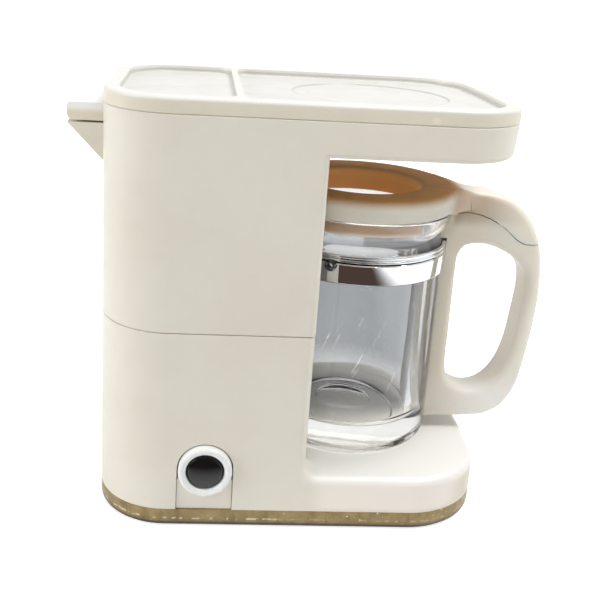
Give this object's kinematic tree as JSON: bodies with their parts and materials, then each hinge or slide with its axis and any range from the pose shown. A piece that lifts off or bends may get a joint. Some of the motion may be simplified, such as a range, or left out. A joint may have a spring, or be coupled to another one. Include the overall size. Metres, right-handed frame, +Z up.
{
  "type": "toy coffee maker",
  "caption": "Toy drip coffee maker with a hinged top lid, a push button and a clear carafe with a lid and handle that slides out.",
  "frame": {"origin": "on the floor, under the middle of the bounding box", "axes": "+Z up, +X towards the front where the carafe and its handle are, -Y towards the side with the push button"},
  "size_m": [0.07, 0.0378, 0.06],
  "materials": {
    "housing": "satin moulded",
    "lid": "satin moulded",
    "base": "gold-brown paint, worn in spots",
    "trim": "gloss",
    "button": "gloss",
    "clear": "clear moulded plastic",
    "band": "polished",
    "carafe_trim": "satin moulded",
    "fastener": "plated"
  },
  "bodies": {
    "housing": {"upper_housing": "housing", "lower_housing": "housing", "base_pan": "base", "filter_basket": "lid", "switch_bezel": "trim", "slot_filler": "housing", "button_guide": "trim", "button_spring": "fastener", "hinge_pin": "fastener", "base_screw_rear_near": "fastener", "base_screw_front_near": "fastener", "base_screw_rear_far": "fastener", "base_screw_front_far": "fastener", "tower_screw_near": "fastener", "tower_screw_far": "fastener"},
    "lid": {"top_lid": "lid"},
    "button": {"button_cap": "button"},
    "carafe": {"jug": "clear", "chrome_band": "band", "band_eyelet": "band", "handle": "carafe_trim"},
    "carafe_lid": {"carafe_lid": "carafe_trim"}
  },
  "joints": [
    {"name": "lid_hinge", "type": "hinge", "parent": "housing", "child": "lid", "pos_m": [-0.0341, 0.00055, 0.05545], "axis": [0, -1, 0], "range_deg": [0, 95]},
    {"name": "button_press", "type": "slide", "parent": "housing", "child": "button", "axis": [0, 1, 0], "range_m": [0, 0.0008], "stiffness_N_per_m": 150, "deforming": ["button_spring"]},
    {"name": "carafe_slide", "type": "slide", "parent": "housing", "child": "carafe", "axis": [1, 0, 0], "range_m": [0, 0.065]},
    {"name": "carafe_lid_lift", "type": "slide", "parent": "carafe", "child": "carafe_lid", "axis": [0, 0, 1], "range_m": [0, 0.005]}
  ]
}
